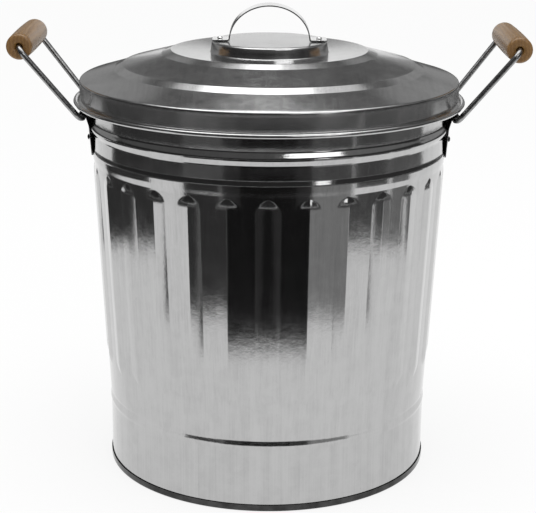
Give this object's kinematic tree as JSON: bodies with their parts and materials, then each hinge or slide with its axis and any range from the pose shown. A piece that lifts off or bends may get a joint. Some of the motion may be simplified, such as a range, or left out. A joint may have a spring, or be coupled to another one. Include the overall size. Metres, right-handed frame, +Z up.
{
  "type": "lidded bin",
  "caption": "Round tapered galvanised steel bin with pressed ribs, a stepped lift-off lid with a strap handle, and hinged wire side handles with turned wood grips.",
  "frame": {"origin": "centre of the foot, on the floor", "axes": "+Z up along the bin's axis, the two wire handles at +X and -X, the lock seam at +Y"},
  "size_m": [0.4976, 0.3822, 0.4605],
  "materials": {
    "galvanised_steel": "bright galvanised sheet, faint vertical brushing and spangle",
    "galvanised_lid": "galvanised sheet, satin, slightly duller than the body",
    "bright_strap": "bright plated strap",
    "dark_bracket": "dark plated plate and rivets",
    "zinc_wire": "zinc-coated drawn wire, satin",
    "turned_wood": "turned hardwood, thin clear varnish"
  },
  "bodies": {
    "bin": {"body_wall": "galvanised_steel", "body_rim_wire": "zinc_wire", "base_pan": "galvanised_steel", "left_bracket": "dark_bracket", "left_bracket_rivet_1": "dark_bracket", "left_bracket_rivet_2": "dark_bracket", "right_bracket": "dark_bracket", "right_bracket_rivet_1": "dark_bracket", "right_bracket_rivet_2": "dark_bracket"},
    "lid": {"lid_pan": "galvanised_lid", "lid_handle_strap": "bright_strap", "lid_handle_left_rivet": "bright_strap", "lid_handle_right_rivet": "bright_strap"},
    "left_bail": {"left_bail": "zinc_wire"},
    "left_grip": {"left_grip": "turned_wood"},
    "right_bail": {"right_bail": "zinc_wire"},
    "right_grip": {"right_grip": "turned_wood"}
  },
  "joints": [
    {"name": "lid_lift", "type": "slide", "parent": "bin", "child": "lid", "axis": [0, 0, 1], "range_m": [0, 0.15]},
    {"name": "left_bail_swing", "type": "hinge", "parent": "bin", "child": "left_bail", "pos_m": [-0.18045, 0, 0.3555], "axis": [0, -1, 0], "range_deg": [-3, 137]},
    {"name": "left_grip_spin", "type": "hinge", "parent": "left_bail", "child": "left_grip", "pos_m": [-0.23597, 0, 0.42506], "axis": [0, -1, 0], "continuous": true},
    {"name": "right_bail_swing", "type": "hinge", "parent": "bin", "child": "right_bail", "pos_m": [0.18045, 0, 0.3555], "axis": [0, 1, 0], "range_deg": [-3, 137]},
    {"name": "right_grip_spin", "type": "hinge", "parent": "right_bail", "child": "right_grip", "pos_m": [0.23597, 0, 0.42506], "axis": [0, 1, 0], "continuous": true}
  ]
}
